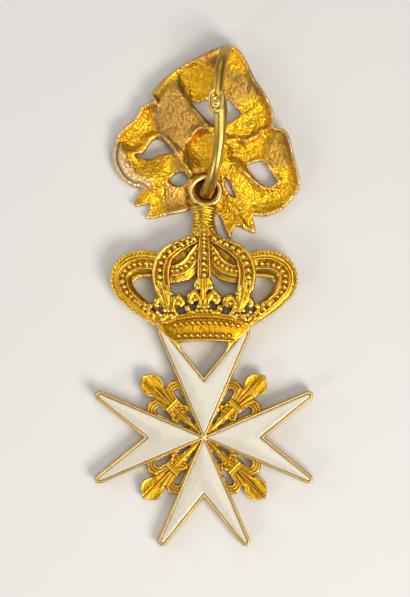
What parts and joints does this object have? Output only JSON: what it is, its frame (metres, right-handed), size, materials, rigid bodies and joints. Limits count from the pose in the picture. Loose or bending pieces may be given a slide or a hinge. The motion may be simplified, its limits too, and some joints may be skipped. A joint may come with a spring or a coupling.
{
  "type": "order badge",
  "caption": "Gilt and white enamel order badge: Maltese cross with fleurs-de-lys under a pierced royal crown, hung by a ring from the hook of a hollow cast ribbon bow.",
  "frame": {"origin": "centre of the footprint, on the plane that the badge lies on", "axes": "+Y runs from the cross up to the bow, +Z is the back of the badge, which faces up, +X is to the right in that view"},
  "size_m": [0.0364, 0.084, 0.0095],
  "materials": {
    "gilt_cast": "matte cast gilding, browner in the hollows and brighter on the rims",
    "gilt_wire": "duller olive gilding, drawn wire",
    "gilt_polished": "gilding, satin with polished ridges",
    "white_enamel": "opaque warm white vitreous enamel, glossy"
  },
  "bodies": {
    "root": {"bow": "gilt_cast", "hook": "gilt_wire", "crown_and_cross": "gilt_polished", "enamel_right_back": "white_enamel", "enamel_top_back": "white_enamel", "enamel_left_back": "white_enamel", "enamel_bottom_back": "white_enamel", "enamel_right_front": "white_enamel", "enamel_top_front": "white_enamel", "enamel_left_front": "white_enamel", "enamel_bottom_front": "white_enamel"}
  },
  "joints": []
}
